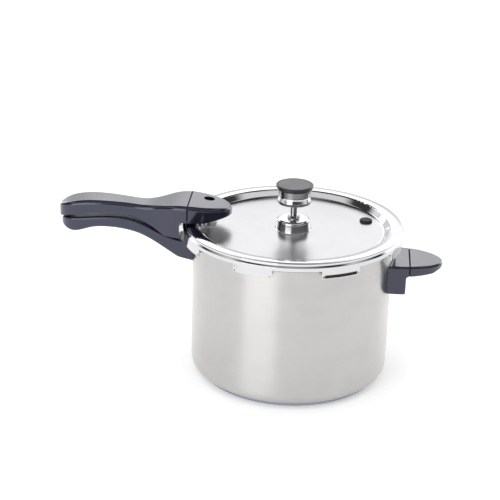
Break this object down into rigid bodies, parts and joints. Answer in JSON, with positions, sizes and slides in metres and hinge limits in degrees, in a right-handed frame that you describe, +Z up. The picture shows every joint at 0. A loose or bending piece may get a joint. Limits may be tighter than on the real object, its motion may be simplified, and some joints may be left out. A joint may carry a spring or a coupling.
{
  "type": "pressure canner",
  "caption": "Stovetop pressure canner: polished steel vessel with a lug-lock cover, long two-part handle, helper handle, weighted regulator on a vent pipe and a safety plug.",
  "frame": {"origin": "centre of the base's underside, on the vessel's axis, on the surface that it stands on", "axes": "+Z up along the vessel's axis; +X towards the helper handle, so the long handles point along -X; +Y to the left when facing +X"},
  "size_m": [0.42, 0.24, 0.2162],
  "materials": {
    "polished_steel": "mirror-polished stainless steel",
    "satin_steel": "plain cold-rolled stainless steel",
    "turned_steel": "turned and polished steel",
    "aluminium": "mill-finish aluminium",
    "black_phenolic": "moulded phenolic, semi-gloss",
    "black_rubber": "moulded rubber",
    "silicone": "translucent grey silicone",
    "zinc_steel": "zinc-plated screws"
  },
  "bodies": {
    "pot": {"pot_body": "polished_steel", "base_core": "aluminium", "base_cap": "polished_steel", "body_handle_bracket": "satin_steel", "body_handle": "black_phenolic", "body_handle_screw": "zinc_steel", "helper_bracket": "satin_steel", "helper_handle": "black_phenolic", "helper_screw": "zinc_steel", "locking_bracket": "satin_steel"},
    "seal": {"sealing_ring": "black_rubber"},
    "cover": {"cover": "polished_steel", "cover_bracket": "satin_steel", "cover_handle": "black_phenolic", "cover_handle_screws": "zinc_steel", "vent_pipe": "turned_steel", "vent_pipe_washer": "satin_steel", "vent_pipe_nut": "turned_steel", "overpressure_plug": "black_rubber", "lock_bush": "silicone"},
    "regulator": {"regulator_weight": "turned_steel", "regulator_cap": "black_phenolic", "regulator_disc": "satin_steel"},
    "lock_pin": {"lock_pin": "turned_steel", "lock_pin_cup": "turned_steel"},
    "rack": {"cooking_rack": "aluminium", "rack_feet": "satin_steel"}
  },
  "joints": [
    {"name": "cover_lift", "type": "slide", "parent": "pot", "child": "seal", "axis": [0, 0, 1], "range_m": [0, 0.12]},
    {"name": "cover_turn", "type": "hinge", "parent": "seal", "child": "cover", "pos_m": [0, 0, 0.165], "axis": [0, 0, 1], "range_deg": [0, 22.5]},
    {"name": "regulator_lift", "type": "slide", "parent": "cover", "child": "regulator", "axis": [0, 0, 1], "range_m": [0, 0.03]},
    {"name": "lock_pin_rise", "type": "slide", "parent": "cover", "child": "lock_pin", "axis": [0, 0, 1], "range_m": [0, 0.0055]},
    {"name": "rack_lift", "type": "slide", "parent": "pot", "child": "rack", "axis": [0, 0, 1], "range_m": [0, 0.1]}
  ]
}
